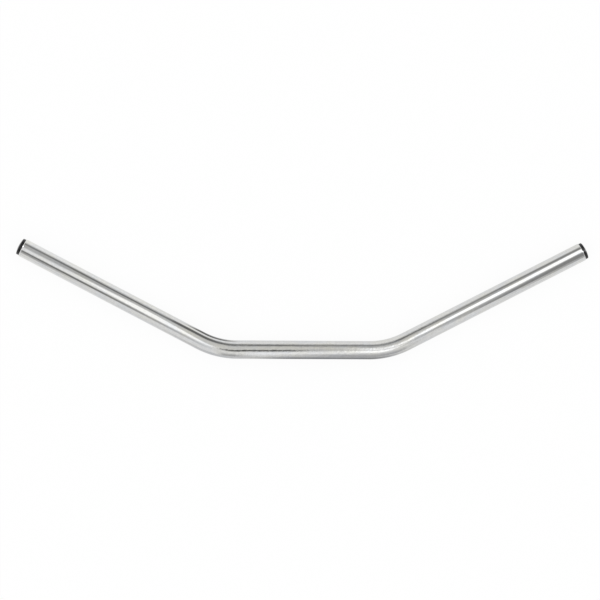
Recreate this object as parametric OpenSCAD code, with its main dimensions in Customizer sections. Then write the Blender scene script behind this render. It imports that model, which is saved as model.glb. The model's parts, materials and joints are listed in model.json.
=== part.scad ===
// Flat drag handlebar: one bent round tube with a plastic plug in each cut end.
// The tube lies in the XY plane with its arms turned back towards +Y.
// The origin is the middle of the clamp section, on the tube's centre line.

/* [Tube] */
// Outside diameter of the tube
tube_d = 22.2; // [20:0.1:32]
// Wall thickness of the tube
tube_wall = 2.0; // [1.6:0.1:3.5]
// Chamfer round the outside of each cut end
end_chamfer = 0.8; // [0.2:0.1:0.9]
// Chamfer round the mouth of the bore at each cut end
bore_chamfer = 0.4; // [0.1:0.1:0.5]

/* [Bends] */
// Length of the straight clamp section between the two bends
clamp_len = 160; // [80:1:300]
// Radius of each bend, measured on the tube's centre line
bend_r = 97; // [60:1:180]
// Angle through which each bend turns its arm back
bend_angle = 27.3; // [5:0.1:80]
// How much the wall thins on each of its faces where the tube is bent
bend_thinning = 0.02; // [0.01:0.01:0.1]

/* [Arms] */
// Length of each straight arm, from its bend to its cut end
arm_len = 240.5; // [120:0.5:400]

/* [Plug head] */
// Step from the outside of the tube in to the rim of the head
head_inset = 0.8; // [0:0.1:0.9]
// Height of the head's straight rim above the cut end of the tube
head_rim_h = 2.7; // [0.8:0.1:4]
// Rounding between the head's rim and its domed top
head_edge_r = 1.0; // [0.4:0.1:2]
// Rise of the dome from the rounded edge to its middle
dome_rise = 1.3; // [0.2:0.1:2]

/* [Plug spigot] */
// Depth of the spigot inside the bore
spigot_len = 19; // [14:1:40]
// Wall thickness of the hollow spigot
spigot_wall = 1.6; // [1:0.1:2.4]
// Height of each grip fin above the spigot
fin_h = 1.8; // [0.8:0.1:2.6]
// Gap between the tip of each fin and the bore
fin_gap = 0.05; // [0.02:0.01:0.2]
// Thickness of each fin where it meets the spigot
fin_root = 1.4; // [1:0.1:1.8]
// Thickness of each fin at its tip
fin_tip = 0.5; // [0.3:0.1:0.8]
// Distance from one fin to the next
fin_pitch = 3.2; // [2.4:0.1:5]
// Distance from the head to the first fin
fin_start = 2.4; // [1:0.1:4]
// Taper that leads the end of the spigot into the bore
lead_in = 1.2; // [0.4:0.1:2]
// Width of the crossed slots that let the spigot flex
slot_w = 2.0; // [1:0.1:3]
// Depth of the crossed slots from the end of the spigot
slot_depth = 11; // [4:1:12]

/* [Hidden] */
round_fn = 96;
bend_fn = 240;
edge_steps = 8;
dome_steps = 6;
cut_over = 1;
bend_lap = 0.05;
tube_r = tube_d / 2;
bore_r = tube_r - tube_wall;
head_r = tube_r - head_inset;
fin_r = bore_r - fin_gap;
spigot_r = fin_r - fin_h;
hollow_r = spigot_r - spigot_wall;
lead_step = spigot_wall / 3;
fin_lean = (fin_root - fin_tip) * 0.8;
fin_room = spigot_len - lead_in - fin_start - fin_root;
fin_count = 1 + floor(fin_room / fin_pitch);
// The head's top is part of a sphere that runs into the rounded edge without a corner
edge_x = head_r - head_edge_r;
dome_angle = 2 * atan(dome_rise / edge_x);
dome_r = head_edge_r + edge_x / sin(dome_angle);
head_top = head_rim_h + head_edge_r + dome_rise;

// Points of an arc round (cx, cz), without its first point
function arc(cx, cz, r, from, to, steps) = [
    for (i = [1 : steps])
        let (a = from + (to - from) * i / steps)
            [cx + r * cos(a), cz + r * sin(a)]
];

// Points of one fin that starts at height z, going up towards the head
function fin_points(z) = [
    [spigot_r, z],
    [fin_r, z + fin_lean],
    [fin_r, z + fin_lean + fin_tip],
    [spigot_r, z + fin_root]
];

// Lays its children's +Z along +X, with their +X on the outer side of the bends
module along_x() {
    rotate([0, 90, 0])
        rotate([0, 0, -90])
            children();
}

// Places its children at the start of the right arm, with +X along the arm
module at_arm_start() {
    translate([clamp_len / 2, bend_r, 0])
        rotate([0, 0, bend_angle])
            translate([0, -bend_r, 0])
                children();
}

// Places its children at the cut end of the right arm, with +Z along the arm
module at_arm_end() {
    at_arm_start()
        translate([arm_len, 0, 0])
            along_x()
                children();
}

module clamp_section() {
    along_x()
        difference() {
            cylinder(r = tube_r, h = clamp_len, center = true, $fn = round_fn);
            cylinder(r = bore_r, h = clamp_len + 2 * cut_over, center = true, $fn = round_fn);
        }
}

// Each end of the sweep runs on inside the wall of the straight tube that it joins
module bend() {
    translate([clamp_len / 2, bend_r, 0])
        rotate([0, 0, -90 - bend_lap])
            rotate_extrude(angle = bend_angle + 2 * bend_lap, $fn = bend_fn)
                translate([bend_r, 0])
                    difference() {
                        circle(r = tube_r - bend_thinning, $fn = round_fn);
                        circle(r = bore_r + bend_thinning, $fn = round_fn);
                    }
}

// Wall of one arm, revolved with its chamfers at the cut end
module arm() {
    wall_section = [
        [bore_r, 0],
        [tube_r, 0],
        [tube_r, arm_len - end_chamfer],
        [tube_r - end_chamfer, arm_len],
        [bore_r + bore_chamfer, arm_len],
        [bore_r, arm_len - bore_chamfer]
    ];
    at_arm_start()
        along_x()
            rotate_extrude($fn = round_fn)
                polygon(wall_section);
}

module handlebar_tube() {
    color("silver")
        union() {
            clamp_section();
            for (side = [0, 1]) {
                mirror([side, 0, 0]) bend();
                mirror([side, 0, 0]) arm();
            }
        }
}

// Half section of a plug, with the seat under its head at height 0
module plug_section() {
    hollow = [
        [0, 0],
        [hollow_r, 0],
        [hollow_r, -spigot_len]
    ];
    tail = [
        [spigot_r - lead_step, -spigot_len],
        [spigot_r, -spigot_len + lead_in]
    ];
    fins = [
        for (i = [fin_count - 1 : -1 : 0])
            each fin_points(-fin_start - fin_root - i * fin_pitch)
    ];
    rim = [
        [spigot_r, 0],
        [head_r, 0],
        [head_r, head_rim_h]
    ];
    edge = arc(edge_x, head_rim_h, head_edge_r, 0, 90 - dome_angle, edge_steps);
    dome = arc(0, head_top - dome_r, dome_r, 90 - dome_angle, 90, dome_steps);
    polygon(concat(hollow, tail, fins, rim, edge, dome));
}

module end_plug() {
    difference() {
        rotate_extrude($fn = round_fn) plug_section();
        for (turn = [0, 90])
            rotate([0, 0, turn])
                translate([0, 0, -spigot_len + (slot_depth - cut_over) / 2])
                    cube([tube_d, slot_w, slot_depth + cut_over], center = true);
    }
}

module left_end_plug() {
    color([0.06, 0.06, 0.07])
        mirror([1, 0, 0])
            at_arm_end()
                end_plug();
}

module right_end_plug() {
    color([0.06, 0.06, 0.07])
        at_arm_end()
            end_plug();
}

handlebar_tube();
left_end_plug();
right_end_plug();
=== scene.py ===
import json
import math
import bpy
from mathutils import Matrix, Vector


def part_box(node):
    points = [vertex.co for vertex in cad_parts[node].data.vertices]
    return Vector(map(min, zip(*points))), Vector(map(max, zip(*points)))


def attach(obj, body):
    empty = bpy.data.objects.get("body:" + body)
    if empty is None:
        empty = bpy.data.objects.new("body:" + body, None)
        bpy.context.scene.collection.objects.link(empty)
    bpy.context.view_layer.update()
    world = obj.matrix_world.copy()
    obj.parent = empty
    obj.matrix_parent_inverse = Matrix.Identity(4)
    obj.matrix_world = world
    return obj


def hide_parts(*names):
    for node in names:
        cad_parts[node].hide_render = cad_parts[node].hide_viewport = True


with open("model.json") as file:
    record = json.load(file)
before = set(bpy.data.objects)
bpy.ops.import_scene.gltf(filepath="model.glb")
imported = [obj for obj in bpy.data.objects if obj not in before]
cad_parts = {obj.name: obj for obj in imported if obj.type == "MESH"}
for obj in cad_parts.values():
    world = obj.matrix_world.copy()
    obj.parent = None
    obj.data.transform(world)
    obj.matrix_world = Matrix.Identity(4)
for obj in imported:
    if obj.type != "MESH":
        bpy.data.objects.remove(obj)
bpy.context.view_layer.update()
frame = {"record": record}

scene = bpy.context.scene

# the tube's own lines, read from the mounts that the frame holds
mounts = {mount["name"]: mount for mount in frame["record"]["mounts"]}
clampMount = mounts["clamp_section"]
gripMount = mounts["right_grip_seat"]
tubeRadius = clampMount["dims"]["r_mm"] / 1000
clampHalf = clampMount["dims"]["length_mm"] / 2000
seatLength = gripMount["dims"]["length_mm"] / 1000
armDirection = Vector(gripMount["axis"])
armAngle = math.atan2(armDirection.y, armDirection.x)
armStart = Vector(gripMount["pos_m"]) - armDirection * seatLength / 2
bendRadius = (armStart.x - clampHalf) / math.sin(armAngle)
bendCentre = Vector((clampHalf, bendRadius, 0))
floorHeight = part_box("handlebar_tube")[0].z


def onSide(point, side):
    # side is -1 for the left arm and 1 for the right one
    return Vector((side * point.x, point.y, point.z))


def wayOut(side):
    return onSide(armDirection, side)


# Camera

camera = {
    "distance": 3.0,
    "target": (-0.0042, 0.0603, 0.0),
    "sideTurn": -3.01,      # degrees round towards the left arm
    "tilt": 1.51,           # degrees towards the far side
    "roll": 0.455,
    "lens": 149.0,
    "sensor": 36.0,
}


def placeCamera():
    side = math.radians(camera["sideTurn"])
    tilt = math.radians(camera["tilt"])
    back = Vector((math.sin(side) * math.cos(tilt), math.sin(tilt),
                   math.cos(side) * math.cos(tilt))).normalized()
    right = Vector((0, 1, 0)).cross(back).normalized()
    up = back.cross(right)
    roll = Matrix.Rotation(math.radians(camera["roll"]), 3, "Z")
    turned = Matrix((right, up, back)).transposed() @ roll
    place = Vector(camera["target"]) + back * camera["distance"]
    data = bpy.data.cameras.new("camera")
    data.lens = camera["lens"]
    data.sensor_width = camera["sensor"]
    data.clip_start = 0.1
    data.clip_end = 50
    holder = bpy.data.objects.new("camera", data)
    scene.collection.objects.link(holder)
    holder.matrix_world = Matrix.Translation(place) @ turned.to_4x4()
    scene.camera = holder


# Edit-mode moves that the pieces are made with

mergeDistance = 0.00001
smoothAngle = 30


def newRing(name, vertices, radius, axis):
    bpy.ops.object.select_all(action="DESELECT")
    bpy.ops.mesh.primitive_circle_add(vertices=vertices, radius=radius, fill_type="NOTHING",
                                      rotation=axis.to_track_quat("Z", "X").to_euler())
    piece = bpy.context.active_object
    piece.name = name
    piece.data.name = name
    bpy.ops.object.transform_apply(location=True, rotation=True, scale=True)
    bpy.ops.object.mode_set(mode="EDIT")
    bpy.ops.mesh.select_mode(type="VERT")
    bpy.ops.mesh.select_all(action="SELECT")
    return piece


def pushRing(offset, steps=1):
    for _ in range(steps):
        bpy.ops.mesh.extrude_region_move(TRANSFORM_OT_translate={"value": offset / steps})


def sizeRing(factor, centre):
    bpy.ops.transform.resize(value=(factor, factor, factor), center_override=centre)


def selectOpenRing():
    # the ring made last is the only one with open edges
    bpy.ops.mesh.select_mode(type="EDGE")
    bpy.ops.mesh.select_all(action="SELECT")
    bpy.ops.mesh.region_to_loop()


def smoothPiece():
    bpy.ops.object.shade_smooth_by_angle(angle=math.radians(smoothAngle))


def closePiece():
    bpy.ops.mesh.select_all(action="SELECT")
    bpy.ops.mesh.remove_doubles(threshold=mergeDistance)
    bpy.ops.mesh.normals_make_consistent(inside=False)
    bpy.ops.object.mode_set(mode="OBJECT")
    smoothPiece()


def selectOnly(piece):
    bpy.ops.object.select_all(action="DESELECT")
    piece.select_set(True)
    bpy.context.view_layer.objects.active = piece


# Tube: one run of rings from its middle out to the cut end and back through the bore

tube = {
    "wall": 0.002,
    "endChamfer": 0.0008,
    "boreChamfer": 0.0004,
    "ringVertices": 128,
    "clampRings": 16,
    "bendRings": 32,
    "armRings": 48,
    "boreBendRings": 12,
}


def spinRing(angle, steps):
    # spin counts its angle clockwise
    bpy.ops.mesh.spin(steps=steps, angle=-angle, center=bendCentre, axis=(0, 0, 1))


def makeTube():
    alongClamp = Vector((1, 0, 0))
    boreRadius = tubeRadius - tube["wall"]
    armLength = seatLength + tube["endChamfer"]
    cutEnd = armStart + armDirection * armLength
    piece = newRing("chromed_tube", tube["ringVertices"], tubeRadius, alongClamp)
    pushRing(alongClamp * clampHalf, tube["clampRings"])
    spinRing(armAngle, tube["bendRings"])
    pushRing(armDirection * seatLength, tube["armRings"])
    pushRing(armDirection * tube["endChamfer"])
    sizeRing(1 - tube["endChamfer"] / tubeRadius, cutEnd)
    pushRing(Vector((0, 0, 0)))
    sizeRing((boreRadius + tube["boreChamfer"]) / (tubeRadius - tube["endChamfer"]), cutEnd)
    pushRing(armDirection * -tube["boreChamfer"])
    sizeRing(boreRadius / (boreRadius + tube["boreChamfer"]),
             cutEnd - armDirection * tube["boreChamfer"])
    pushRing(armDirection * (tube["boreChamfer"] - armLength), 2)
    spinRing(-armAngle, tube["boreBendRings"])
    pushRing(alongClamp * -clampHalf)
    bpy.ops.object.mode_set(mode="OBJECT")
    mirror = piece.modifiers.new("otherHalf", "MIRROR")
    mirror.use_axis = (True, False, False)
    mirror.merge_threshold = mergeDistance
    bpy.ops.object.modifier_apply(modifier=mirror.name)
    bpy.ops.object.mode_set(mode="EDIT")
    closePiece()
    storeStraightened(piece)
    return piece


def straightenedPlace(point):
    # where a point of the tube would be if the tube had never been bent
    side = -1 if point.x < 0 else 1
    flat = Vector((abs(point.x), point.y, 0))
    fromCentre = flat - bendCentre
    turn = math.atan2(fromCentre.x, -fromCentre.y)
    if flat.x <= clampHalf:
        along = flat.x
        out = flat.y
    elif turn < armAngle:
        along = clampHalf + bendRadius * turn
        out = bendRadius - fromCentre.length
    else:
        fromStart = flat - armStart
        along = clampHalf + bendRadius * armAngle + fromStart.dot(armDirection)
        out = armDirection.x * fromStart.y - armDirection.y * fromStart.x
    return Vector((side * along, out, point.z))


def storeStraightened(piece):
    attribute = piece.data.attributes.new("straightened", "FLOAT_VECTOR", "POINT")
    for vertex in piece.data.vertices:
        attribute.data[vertex.index].vector = straightenedPlace(vertex.co)


# Plugs: turned heads and finned spigots, modelled standing and then laid into each cut end

plug = {
    "ringVertices": 96,
    "headInset": 0.0008,
    "rimHeight": 0.0027,
    "edgeRadius": 0.0010,
    "domeRise": 0.0013,
    "edgeSteps": 8,
    "domeSteps": 10,
    "gateRadius": 0.0014,      # small sunk disc where the plastic was fed in
    "gateTaper": 0.8,          # share of its radius that is left at the disc's floor
    "gateDepth": 0.0002,
    "spigotLength": 0.019,
    "spigotWall": 0.0016,
    "finHeight": 0.0018,
    "finGap": 0.00005,
    "finRoot": 0.0014,
    "finTip": 0.0005,
    "finLean": 0.8,            # share of its taper that is on the side that goes in first
    "finPitch": 0.0032,
    "finStart": 0.0024,
    "leadIn": 0.0012,
    "slotWidth": 0.002,
    "slotDepth": 0.011,
    "slotOver": 0.001,
}


def plugProfile():
    # radius and height of every ring, from the middle of the dome round to the hollow's floor
    headRadius = tubeRadius - plug["headInset"]
    finRadius = tubeRadius - tube["wall"] - plug["finGap"]
    spigotRadius = finRadius - plug["finHeight"]
    hollowRadius = spigotRadius - plug["spigotWall"]
    leadStep = plug["spigotWall"] / 3
    edgeX = headRadius - plug["edgeRadius"]
    domeAngle = 2 * math.atan(plug["domeRise"] / edgeX)
    domeRadius = plug["edgeRadius"] + edgeX / math.sin(domeAngle)
    top = plug["rimHeight"] + plug["edgeRadius"] + plug["domeRise"]
    gateAngle = math.asin(plug["gateRadius"] / domeRadius)
    rings = [(plug["gateRadius"] * plug["gateTaper"], top - plug["gateDepth"])]
    for step in range(plug["domeSteps"] + 1):
        angle = gateAngle + (domeAngle - gateAngle) * step / plug["domeSteps"]
        rings.append((domeRadius * math.sin(angle),
                      top - domeRadius + domeRadius * math.cos(angle)))
    for step in range(1, plug["edgeSteps"] + 1):
        angle = domeAngle + (math.pi / 2 - domeAngle) * step / plug["edgeSteps"]
        rings.append((edgeX + plug["edgeRadius"] * math.sin(angle),
                      plug["rimHeight"] + plug["edgeRadius"] * math.cos(angle)))
    rings += [(headRadius, 0), (spigotRadius, 0)]
    finLean = (plug["finRoot"] - plug["finTip"]) * plug["finLean"]
    finRoom = plug["spigotLength"] - plug["leadIn"] - plug["finStart"] - plug["finRoot"]
    for fin in range(1 + int(finRoom / plug["finPitch"])):
        foot = -plug["finStart"] - plug["finRoot"] - fin * plug["finPitch"]
        rings += [(spigotRadius, foot + plug["finRoot"]),
                  (finRadius, foot + finLean + plug["finTip"]),
                  (finRadius, foot + finLean),
                  (spigotRadius, foot)]
    rings += [(spigotRadius, plug["leadIn"] - plug["spigotLength"]),
              (spigotRadius - leadStep, -plug["spigotLength"]),
              (hollowRadius, -plug["spigotLength"]), (hollowRadius, 0)]
    return rings


def cutSlots(piece):
    # crossed slots that let the spigot flex, cut by boxes that stand out past its end
    length = plug["slotDepth"] + plug["slotOver"]
    height = plug["slotDepth"] - plug["spigotLength"] - length / 2
    for turn in (0, math.pi / 2):
        bpy.ops.object.select_all(action="DESELECT")
        bpy.ops.mesh.primitive_cube_add(size=1, rotation=(0, 0, turn), location=(0, 0, height))
        cutter = bpy.context.active_object
        cutter.scale = (3 * tubeRadius, plug["slotWidth"], length)
        selectOnly(piece)
        slot = piece.modifiers.new("slot", "BOOLEAN")
        slot.operation = "DIFFERENCE"
        slot.solver = "EXACT"
        slot.object = cutter
        bpy.ops.object.modifier_apply(modifier=slot.name)
        bpy.data.objects.remove(cutter)


def makePlug(name):
    up = Vector((0, 0, 1))
    rings = plugProfile()
    radius, height = rings[0]
    piece = newRing(name, plug["ringVertices"], radius, up)
    bpy.ops.transform.translate(value=(0, 0, height))
    bpy.ops.mesh.edge_face_add()
    for nextRadius, nextHeight in rings[1:]:
        selectOpenRing()
        pushRing(up * (nextHeight - height))
        sizeRing(nextRadius / radius, (0, 0, nextHeight))
        radius, height = nextRadius, nextHeight
    bpy.ops.mesh.edge_face_add()
    closePiece()
    cutSlots(piece)
    smoothPiece()
    return piece


def layPlug(piece, side):
    # the standing plug's up becomes the way out of the cut end
    out = wayOut(side)
    seat = onSide(armStart, side) + out * (seatLength + tube["endChamfer"])
    turned = out.to_track_quat("Z", "Y").to_matrix().to_4x4()
    piece.matrix_world = Matrix.Translation(seat) @ turned
    selectOnly(piece)
    bpy.ops.object.transform_apply(location=True, rotation=True, scale=True)


# Materials

def newMaterial(name):
    material = bpy.data.materials.new(name)
    material.use_nodes = True
    tree = material.node_tree
    return material, tree, tree.nodes["Principled BSDF"]


def newGlow(name):
    # a material of one emission shader, still to be linked to its output
    material, tree, _ = newMaterial(name)
    tree.nodes.clear()
    glow = tree.nodes.new("ShaderNodeEmission")
    output = tree.nodes.new("ShaderNodeOutputMaterial")
    return material, tree, glow, output.inputs["Surface"]


def mixShaders(tree, factor, first, second):
    node = tree.nodes.new("ShaderNodeMixShader")
    tree.links.new(factor, node.inputs["Fac"])
    tree.links.new(first, node.inputs[1])
    tree.links.new(second, node.inputs[2])
    return node.outputs["Shader"]


def noise(tree, vector, scale, detail, roughness):
    mapping = tree.nodes.new("ShaderNodeMapping")
    mapping.inputs["Scale"].default_value = scale
    tree.links.new(vector, mapping.inputs["Vector"])
    node = tree.nodes.new("ShaderNodeTexNoise")
    node.inputs["Scale"].default_value = 1.0
    node.inputs["Detail"].default_value = detail
    node.inputs["Roughness"].default_value = roughness
    tree.links.new(mapping.outputs["Vector"], node.inputs["Vector"])
    return node.outputs["Fac"]


def mapRange(tree, value, fromLow, fromHigh, toLow, toHigh, smooth=False):
    node = tree.nodes.new("ShaderNodeMapRange")
    if smooth:
        node.interpolation_type = "SMOOTHSTEP"
    for socket, number in (("From Min", fromLow), ("From Max", fromHigh),
                           ("To Min", toLow), ("To Max", toHigh)):
        node.inputs[socket].default_value = number
    tree.links.new(value, node.inputs["Value"])
    return node.outputs["Result"]


def math2(tree, operation, first, second):
    node = tree.nodes.new("ShaderNodeMath")
    node.operation = operation
    for index, value in enumerate((first, second)):
        if isinstance(value, (int, float)):
            node.inputs[index].default_value = value
        else:
            tree.links.new(value, node.inputs[index])
    return node.outputs["Value"]


def softBand(tree, offset, half, fade):
    # 1 inside the band and 0 outside it, with a soft edge
    away = math2(tree, "ABSOLUTE", offset, 0.0)
    return mapRange(tree, away, half - fade, half + fade, 1, 0, smooth=True)


def bump(tree, height, distance, below=None):
    node = tree.nodes.new("ShaderNodeBump")
    node.inputs["Strength"].default_value = 1.0
    node.inputs["Distance"].default_value = distance
    tree.links.new(height, node.inputs["Height"])
    if below is not None:
        tree.links.new(below, node.inputs["Normal"])
    return node.outputs["Normal"]


def scaled(tree, colour, factor):
    node = tree.nodes.new("ShaderNodeVectorMath")
    node.operation = "SCALE"
    tree.links.new(colour, node.inputs[0])
    tree.links.new(factor, node.inputs["Scale"])
    return node.outputs["Vector"]


def ramp(tree, value, stops):
    (firstPlace, firstColour), *others = stops
    node = tree.nodes.new("ShaderNodeValToRGB")
    elements = node.color_ramp.elements
    while len(elements) > 1:
        elements.remove(elements[-1])
    elements[0].position = firstPlace
    elements[0].color = (*firstColour, 1)
    for place, colour in others:
        elements.new(place).color = (*colour, 1)
    tree.links.new(value, node.inputs["Fac"])
    return node.outputs["Color"]


# a noise is its waves a metre on the three axes, its detail and its roughness, a span is the two
# noise values between which a look changes, and places are the values at which the tints stand
chrome = {
    "warm": (0.83, 0.828, 0.79),
    "plain": (0.825, 0.825, 0.815),
    "cool": (0.80, 0.815, 0.825),
    "tintPlaces": (0.36, 0.5, 0.64),
    "tintNoise": ((45, 110, 110), 4, 0.6),
    "speckNoise": ((260, 900, 900), 4, 0.6),
    "speckSpan": (0.35, 0.62),
    "speckDim": 0.88,                            # how far specks and lines dim the plate
    "lineNoise": ((1300, 160, 160), 2, 0.5),     # left round the tube by the polishing belt
    "lineSpan": (0.35, 0.6),
    "lineDim": 0.95,
    "lineDepth": 0.0000014,
    "drawNoise": ((6, 500, 500), 2, 0.5),        # long faint waves along the tube
    "drawDepth": 0.000005,
    "rippleNoise": ((120, 260, 260), 3, 0.5),    # slight unevenness of the plate
    "rippleDepth": 0.00003,
    "mottleNoise": ((170, 330, 330), 3, 0.55),   # more of it, over the clamp and the right bend
    "mottleDepth": 0.00014,
    "mottleMiddle": 0.04,
    "mottleReach": 0.14,
    "mottleFade": 0.02,
    "roughSpan": (0.35, 0.65),
    "roughLow": 0.025,
    "roughHigh": 0.085,
}


def chromeMaterial():
    material, tree, shader = newMaterial("polished_chrome")
    place = tree.nodes.new("ShaderNodeAttribute")
    place.attribute_name = "straightened"
    along = place.outputs["Vector"]
    axis = tree.nodes.new("ShaderNodeSeparateXYZ")
    tree.links.new(along, axis.inputs["Vector"])
    tints = (chrome["warm"], chrome["plain"], chrome["cool"])
    plate = ramp(tree, noise(tree, along, *chrome["tintNoise"]), zip(chrome["tintPlaces"], tints))
    specks = noise(tree, along, *chrome["speckNoise"])
    lines = noise(tree, along, *chrome["lineNoise"])
    dimming = math2(tree, "MULTIPLY",
                    mapRange(tree, specks, *chrome["speckSpan"], chrome["speckDim"], 1.0),
                    mapRange(tree, lines, *chrome["lineSpan"], chrome["lineDim"], 1.0))
    rough = mapRange(tree, specks, *chrome["roughSpan"], chrome["roughHigh"], chrome["roughLow"])
    fromMiddle = math2(tree, "SUBTRACT", axis.outputs["X"], chrome["mottleMiddle"])
    mottled = math2(tree, "MULTIPLY", noise(tree, along, *chrome["mottleNoise"]),
                    softBand(tree, fromMiddle, chrome["mottleReach"], chrome["mottleFade"]))
    ripples = noise(tree, along, *chrome["rippleNoise"])
    surface = bump(tree, noise(tree, along, *chrome["drawNoise"]), chrome["drawDepth"])
    surface = bump(tree, lines, chrome["lineDepth"], surface)
    surface = bump(tree, ripples, chrome["rippleDepth"], surface)
    surface = bump(tree, mottled, chrome["mottleDepth"], surface)
    shader.inputs["Metallic"].default_value = 1.0
    tree.links.new(scaled(tree, plate, dimming), shader.inputs["Base Color"])
    tree.links.new(rough, shader.inputs["Roughness"])
    tree.links.new(surface, shader.inputs["Normal"])
    return material


plastic = {
    "colour": (0.004, 0.004, 0.005),
    "scuffed": (0.013, 0.013, 0.014),
    "scuffPlaces": (0.45, 0.75),
    "scuffNoise": ((900, 900, 900), 4, 0.6),
    "grainNoise": ((5200, 5200, 5200), 2, 0.5),
    "grainDepth": 0.00001,
    "roughSpan": (0.35, 0.7),
    "roughLow": 0.28,
    "roughHigh": 0.42,
    "refraction": 1.4,
    "gloss": 0.2,
    "glossRough": 0.12,
}


def plasticMaterial():
    material, tree, shader = newMaterial("moulded_black_plastic")
    place = tree.nodes.new("ShaderNodeTexCoord").outputs["Object"]
    scuff = noise(tree, place, *plastic["scuffNoise"])
    colours = (plastic["colour"], plastic["scuffed"])
    colour = ramp(tree, scuff, zip(plastic["scuffPlaces"], colours))
    rough = mapRange(tree, scuff, *plastic["roughSpan"], plastic["roughLow"], plastic["roughHigh"])
    grain = bump(tree, noise(tree, place, *plastic["grainNoise"]), plastic["grainDepth"])
    shader.inputs["IOR"].default_value = plastic["refraction"]
    shader.inputs["Coat Weight"].default_value = plastic["gloss"]
    shader.inputs["Coat Roughness"].default_value = plastic["glossRough"]
    tree.links.new(colour, shader.inputs["Base Color"])
    tree.links.new(rough, shader.inputs["Roughness"])
    tree.links.new(grain, shader.inputs["Normal"])
    return material


# Studio: white floor and sky, and a light tent round the bar that only polished surfaces see

studio = {
    "floorSize": 30.0,
    "floorColour": (0.97, 0.97, 0.97),
    "floorRough": 0.9,
    "shadowShare": 0.08,        # how much of the floor's real shading the camera sees
    "skyLevel": 1.0,
    "tentVertices": 96,
    "tentRadius": 0.4,
    "tentLength": 6.0,
    "tentY": 0.06,
    "tentLevel": 0.83,
    # the grey of the floor's painted reflection, the floor as polished surfaces see it
    "floorLevel": 0.86,
    "cardSideFade": 0.15,       # shares of a card's width and height over which its edges fade
    "cardEndFade": 0.1,
}

# soft boxes and flags on the tent, laid one over the other: x, reach and fade are metres along the
# bar, angle, spread and soft are degrees from straight up towards -Y, and slope is degrees a metre.
# A level is how bright a patch is, and a warmth above 0 takes blue from it.
tentPatches = (
    {"name": "farSky", "x": 0.0, "reach": 9.0, "fade": 1.0,
     "angle": -110, "spread": 25, "soft": 8, "level": 0.92},
    {"name": "farGrey", "x": 0.0, "reach": 9.0, "fade": 1.0,
     "angle": -48, "spread": 29, "soft": 11, "level": 0.50, "warmth": 0.01},
    {"name": "farFlag", "x": 0.0, "reach": 9.0, "fade": 1.0,
     "angle": -60, "spread": 10, "soft": 6, "level": 0.27},
    {"name": "farFlagMiddle", "x": 0.01, "reach": 0.10, "fade": 0.05,
     "angle": -50, "spread": 8, "soft": 7, "level": 0.33, "warmth": 0.01},
    {"name": "farFlagLeft", "x": -0.07, "reach": 0.09, "fade": 0.04,
     "angle": -57, "spread": 10, "soft": 6, "level": 0.20},
    {"name": "farGlow", "x": 0.0, "reach": 0.07, "fade": 0.04,
     "angle": -73, "spread": 7, "soft": 6, "level": 0.62, "warmth": 0.01},
    {"name": "middleGrey", "x": 0.01, "reach": 0.11, "fade": 0.03,
     "angle": -8, "spread": 24, "soft": 14, "level": 0.68, "warmth": 0.07},
    {"name": "leftBoxFar", "x": -0.31, "reach": 0.09, "fade": 0.05,
     "angle": 5, "spread": 16, "soft": 13, "level": 0.98},
    {"name": "leftBox", "x": -0.185, "reach": 0.08, "fade": 0.02,
     "angle": 4, "spread": 20, "soft": 8, "level": 1.22, "slope": -60},
    {"name": "rightBox", "x": 0.26, "reach": 0.15, "fade": 0.05,
     "angle": -20, "spread": 22, "soft": 9, "level": 1.42, "warmth": -0.01, "slope": -150},
    {"name": "bendFlag", "x": 0.16, "reach": 0.05, "fade": 0.03,
     "angle": 12, "spread": 5, "soft": 5, "level": 0.75},
    {"name": "bendBox", "x": 0.135, "reach": 0.05, "fade": 0.03,
     "angle": 28, "spread": 9, "soft": 8, "level": 1.40},
    {"name": "middleBox", "x": 0.015, "reach": 0.075, "fade": 0.03,
     "angle": 50, "spread": 13, "soft": 9, "level": 1.04, "warmth": -0.02, "slope": -80},
    {"name": "thinFlag", "x": 0.05, "reach": 0.04, "fade": 0.03,
     "angle": 6, "spread": 8, "soft": 8, "level": 0.57, "warmth": 0.02, "slope": -60},
    {"name": "middleFlag", "x": -0.044, "reach": 0.063, "fade": 0.03,
     "angle": 19.5, "spread": 9, "soft": 6, "level": 0.10, "warmth": 0.04, "slope": -55},
    {"name": "leftFlag", "x": -0.55, "reach": 0.29, "fade": 0.15,
     "angle": 28, "spread": 13, "soft": 8, "level": 0.20, "warmth": 0.01, "slope": 20},
    {"name": "leftEndFlag", "x": -0.61, "reach": 0.13, "fade": 0.06,
     "angle": 47, "spread": 13, "soft": 12, "level": 0.40, "warmth": 0.01},
    {"name": "rightFlagTip", "x": 0.31, "reach": 0.10, "fade": 0.05,
     "angle": 18, "spread": 14, "soft": 10, "level": 0.50, "warmth": -0.01},
    {"name": "rightFlag", "x": 0.55, "reach": 0.20, "fade": 0.07,
     "angle": 17, "spread": 26, "soft": 9, "level": 0.28, "warmth": -0.01},
    {"name": "rightEndFlag", "x": 0.60, "reach": 0.09, "fade": 0.06,
     "angle": 52, "spread": 14, "soft": 12, "level": 0.45, "warmth": -0.01},
    {"name": "nearGrey", "x": 0.17, "reach": 0.15, "fade": 0.07,
     "angle": 90, "spread": 34, "soft": 20, "level": 0.47, "warmth": -0.05},
    {"name": "nearLeftGrey", "x": -0.11, "reach": 0.045, "fade": 0.025,
     "angle": 90, "spread": 24, "soft": 20, "level": 0.42, "warmth": -0.02},
)
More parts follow.
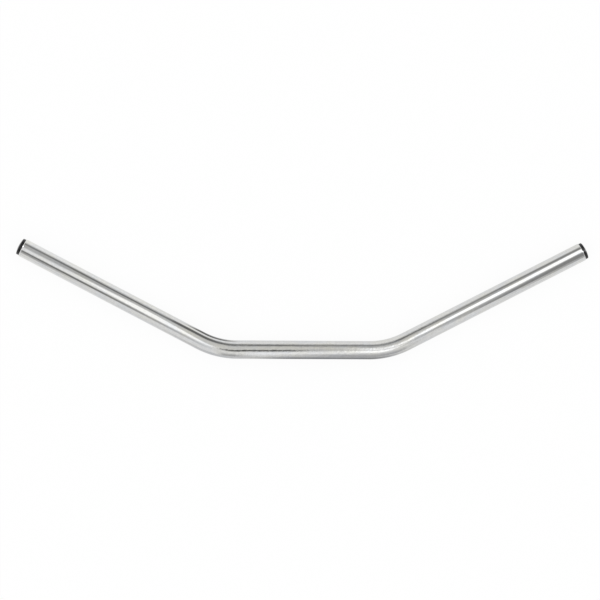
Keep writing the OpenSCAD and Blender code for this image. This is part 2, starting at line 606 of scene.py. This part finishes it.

# painted shades and lights on the floor, in metres, that polished surfaces alone see: they paint
# the floor's reflection in the chrome
floorPatches = (
    {"name": "leftFarFloor", "x": -0.4, "reach": 0.3, "fade": 0.1,
     "y": 0.40, "spread": 0.30, "soft": 0.1, "level": 0.98},
    {"name": "nearFloor", "x": 0.0, "reach": 0.9, "fade": 0.1,
     "y": -0.30, "spread": 0.33, "soft": 0.05, "level": 0.78, "warmth": -0.02},
    {"name": "bendFloor", "x": -0.02, "reach": 0.17, "fade": 0.03,
     "y": -0.25, "spread": 0.24, "soft": 0.02, "level": 0.64, "warmth": -0.02},
    {"name": "middleFloor", "x": 0.045, "reach": 0.075, "fade": 0.03,
     "y": -0.30, "spread": 0.26, "soft": 0.02, "level": 0.44, "warmth": -0.04},
    {"name": "clampShade", "x": 0.035, "reach": 0.075, "fade": 0.03,
     "y": -0.032, "spread": 0.018, "soft": 0.012, "level": 0.26, "warmth": -0.06, "slope": -0.1},
    {"name": "bendShade", "x": -0.104, "reach": 0.020, "fade": 0.010,
     "y": 0.045, "spread": 0.022, "soft": 0.012, "level": 0.16},
)

# a dark card by the left bend that only polished surfaces see: it paints a dark reflection band
# into the chrome of the bend
bendDarkReflectionCard = {"name": "bend_dark_reflection_card", "middle": (-0.113, 0.062, 0.034), "turn": -25.5,
            "size": (0.078, 0.042), "level": 0.15}

# a light off each tip, for the chamfer and the plug's head: metres out from the cut end, aside
# towards the far side, and up
tipCards = (
    {"name": "left_tip_light", "side": -1, "out": 0.060, "aside": 0.009, "up": 0.0,
     "size": (0.016, 0.024), "level": 4.0},
    {"name": "right_tip_light", "side": 1, "out": 0.035, "aside": 0.0, "up": 0.030,
     "size": (0.017, 0.075), "level": 14.0},
)


def tinted(level, warmth=0):
    return (level * (1 + warmth / 4), level * (1 + warmth / 8), level * (1 - warmth / 2), 1)


def addPatch(tree, ground, u, v, patch, vPlace):
    # mixes one soft-edged rectangle over the ground colour
    along = math2(tree, "SUBTRACT", u, patch["x"])
    rise = math2(tree, "MULTIPLY", along, patch.get("slope", 0))
    across = math2(tree, "SUBTRACT", math2(tree, "SUBTRACT", v, vPlace), rise)
    mask = math2(tree, "MULTIPLY", softBand(tree, along, patch["reach"], patch["fade"]),
                 softBand(tree, across, patch["spread"], patch["soft"]))
    mix = tree.nodes.new("ShaderNodeMix")
    mix.label = patch["name"]
    mix.data_type = "RGBA"
    tree.links.new(mask, mix.inputs["Factor"])
    first, second = [socket for socket in mix.inputs if socket.type == "RGBA"]
    tree.links.new(ground, first)
    second.default_value = tinted(patch["level"], patch.get("warmth", 0))
    return [socket for socket in mix.outputs if socket.type == "RGBA"][0]


def plainColour(tree, level):
    node = tree.nodes.new("ShaderNodeRGB")
    node.outputs["Color"].default_value = tinted(level)
    return node.outputs["Color"]


def objectAxes(tree):
    axes = tree.nodes.new("ShaderNodeSeparateXYZ")
    tree.links.new(tree.nodes.new("ShaderNodeTexCoord").outputs["Object"], axes.inputs["Vector"])
    return axes.outputs["X"], axes.outputs["Y"], axes.outputs["Z"]


def hideFromLight(piece):
    # only mirror-like surfaces see it, and it casts no light and no shadow on anything
    piece.visible_camera = False
    piece.visible_diffuse = False
    piece.visible_transmission = False
    piece.visible_shadow = False


def makeFloor():
    bpy.ops.object.select_all(action="DESELECT")
    bpy.ops.mesh.primitive_plane_add(size=studio["floorSize"], location=(0, 0, floorHeight))
    floor = bpy.context.active_object
    floor.name = "floor"
    bpy.ops.object.transform_apply(location=True)
    material, tree, shader = newMaterial("white_floor")
    shader.inputs["Base Color"].default_value = (*studio["floorColour"], 1)
    shader.inputs["Roughness"].default_value = studio["floorRough"]
    shader.inputs["Specular IOR Level"].default_value = 0.0
    x, y, _ = objectAxes(tree)
    # what polished surfaces see of the floor is a painted reflection: a plain grey with the painted
    # shades and lights of floorPatches over it
    paintedFloorReflection = plainColour(tree, studio["floorLevel"])
    for patch in floorPatches:
        paintedFloorReflection = addPatch(tree, paintedFloorReflection, x, y, patch, patch["y"])
    path = tree.nodes.new("ShaderNodeLightPath")
    white = tree.nodes.new("ShaderNodeEmission")
    glow = tree.nodes.new("ShaderNodeEmission")
    tree.links.new(paintedFloorReflection, glow.inputs["Color"])
    seenByCamera = math2(tree, "MULTIPLY", path.outputs["Is Camera Ray"], 1 - studio["shadowShare"])
    mirrorRay = math2(tree, "MAXIMUM", path.outputs["Is Glossy Ray"],
                      path.outputs["Is Transmission Ray"])
    plain = mixShaders(tree, seenByCamera, shader.outputs["BSDF"], white.outputs["Emission"])
    both = mixShaders(tree, mirrorRay, plain, glow.outputs["Emission"])
    tree.links.new(both, tree.nodes["Material Output"].inputs["Surface"])
    floor.data.materials.append(material)


def makeWorld():
    world = bpy.data.worlds.new("studio_sky")
    scene.world = world
    world.use_nodes = True
    sky = world.node_tree.nodes["Background"]
    sky.inputs["Color"].default_value = (1, 1, 1, 1)
    sky.inputs["Strength"].default_value = studio["skyLevel"]


def makeTent():
    tent = newRing("light_tent", studio["tentVertices"], studio["tentRadius"], Vector((1, 0, 0)))
    bpy.ops.transform.translate(value=(-studio["tentLength"] / 2, studio["tentY"], 0))
    pushRing(Vector((studio["tentLength"], 0, 0)))
    closePiece()
    material, tree, glow, surface = newGlow("tent_cloth")
    x, y, z = objectAxes(tree)
    towards = math2(tree, "SUBTRACT", studio["tentY"], y)
    angle = math2(tree, "MULTIPLY", math2(tree, "ARCTAN2", towards, z), math.degrees(1))
    cloth = plainColour(tree, studio["tentLevel"])
    for patch in tentPatches:
        cloth = addPatch(tree, cloth, x, angle, patch, patch["angle"])
    tree.links.new(cloth, glow.inputs["Color"])
    tree.links.new(glow.outputs["Emission"], surface)
    tent.data.materials.append(material)
    hideFromLight(tent)


def cardBand(tree, place, size, fade):
    return softBand(tree, place, size * (0.5 - fade), size * fade)


def makeCard(card, middle, turn):
    bpy.ops.object.select_all(action="DESELECT")
    bpy.ops.mesh.primitive_plane_add(size=1, location=middle, rotation=turn)
    piece = bpy.context.active_object
    piece.name = card["name"]
    piece.scale = (*card["size"], 1)
    bpy.ops.object.transform_apply(location=False, rotation=False, scale=True)
    material, tree, glow, surface = newGlow(card["name"])
    width, height = card["size"]
    x, y, _ = objectAxes(tree)
    mask = math2(tree, "MULTIPLY", cardBand(tree, x, width, studio["cardSideFade"]),
                 cardBand(tree, y, height, studio["cardEndFade"]))
    clear = tree.nodes.new("ShaderNodeBsdfTransparent")
    glow.inputs["Color"].default_value = tinted(1)
    glow.inputs["Strength"].default_value = card["level"]
    faded = mixShaders(tree, mask, clear.outputs["BSDF"], glow.outputs["Emission"])
    tree.links.new(faded, surface)
    piece.data.materials.append(material)
    hideFromLight(piece)


def makeTipCard(card):
    side = card["side"]
    out = wayOut(side)
    aside = Vector((-side * out.y, side * out.x, 0))
    offset = out * card["out"] + aside * card["aside"] + Vector((0, 0, card["up"]))
    middle = onSide(armStart, side) + out * seatLength + offset
    makeCard(card, middle, offset.to_track_quat("Z", "Y").to_euler())


placeCamera()
makeWorld()
makeFloor()
makeTent()
makeCard(bendDarkReflectionCard, bendDarkReflectionCard["middle"], (math.pi / 2, 0, math.radians(bendDarkReflectionCard["turn"])))
for tipCard in tipCards:
    makeTipCard(tipCard)
print("studio ready")

tubePiece = makeTube()
tubePiece.data.materials.append(chromeMaterial())
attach(tubePiece, "root")
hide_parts("handlebar_tube")
print("tube ready", len(tubePiece.data.polygons))

blackPlastic = plasticMaterial()
for side, sideName in ((-1, "left"), (1, "right")):
    plugPiece = makePlug(sideName + "_plug")
    layPlug(plugPiece, side)
    plugPiece.data.materials.append(blackPlastic)
    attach(plugPiece, "root")
    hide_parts(sideName + "_end_plug")
    print(sideName, "plug ready", len(plugPiece.data.polygons))

scene.view_settings.view_transform = "Standard"
